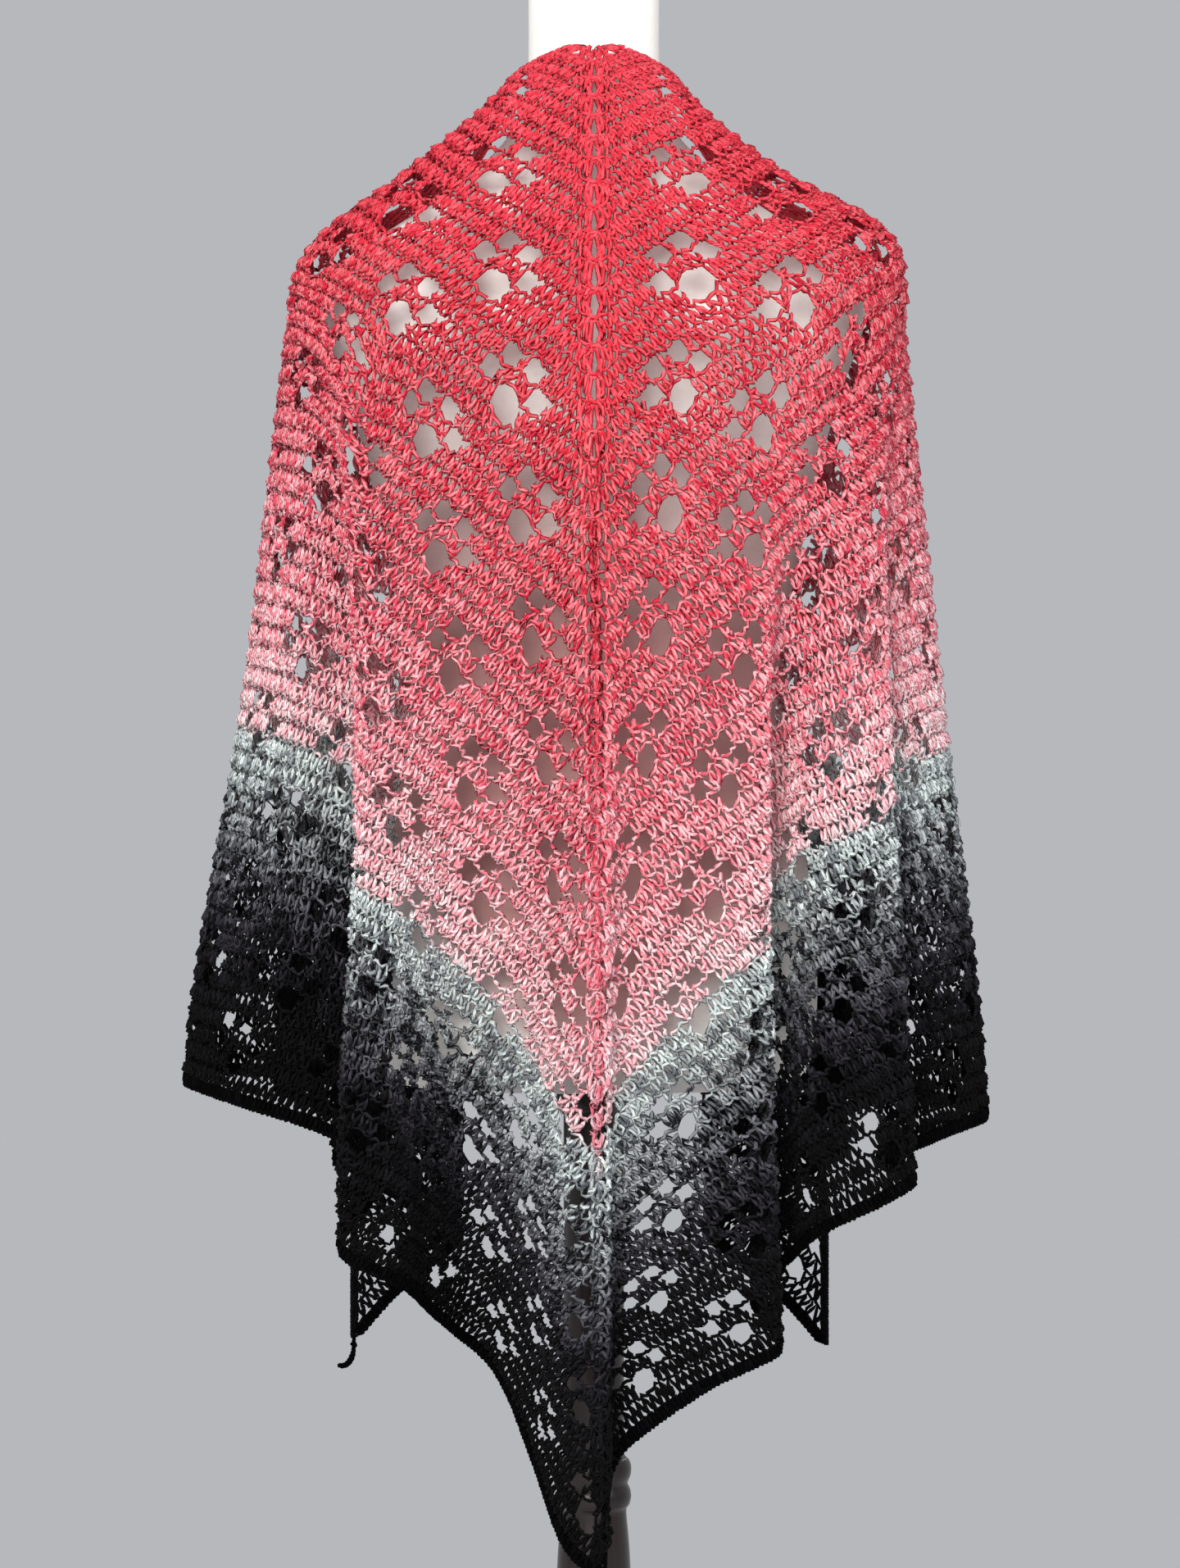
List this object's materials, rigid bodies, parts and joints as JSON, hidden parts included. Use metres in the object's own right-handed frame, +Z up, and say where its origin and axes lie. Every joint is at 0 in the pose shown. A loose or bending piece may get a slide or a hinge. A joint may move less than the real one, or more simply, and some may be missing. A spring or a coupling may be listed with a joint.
{
  "type": "crocheted triangular shawl on a dress form",
  "caption": "Triangular crocheted lace shawl with paw-print openwork and a centre spine, draped over a limbless dress form on a turned stand with a round foot.",
  "frame": {"origin": "centre of the underside of the round foot, on the floor", "axes": "+Z up along the post; -Y is the side of the shawl's back with its spine, +Y the open front; +X is the wearer's right wing"},
  "size_m": [0.5526, 0.3816, 1.519],
  "materials": {
    "yarn_gradient": "matt cotton yarn, coral at the neck running through pink and silver grey to black at the hem",
    "yarn_black": "matt black cotton yarn",
    "form_cover": "matt off-white",
    "dark_wood": "satin, near-black brown"
  },
  "bodies": {
    "root": {"shawl_left_wing": "yarn_gradient", "shawl_right_wing": "yarn_gradient", "shawl_spine": "yarn_gradient", "shawl_border_left": "yarn_black", "shawl_border_right": "yarn_black", "shawl_yarn_end": "yarn_black", "dress_form_torso": "form_cover", "stand_post": "dark_wood", "stand_base": "dark_wood"}
  },
  "joints": []
}
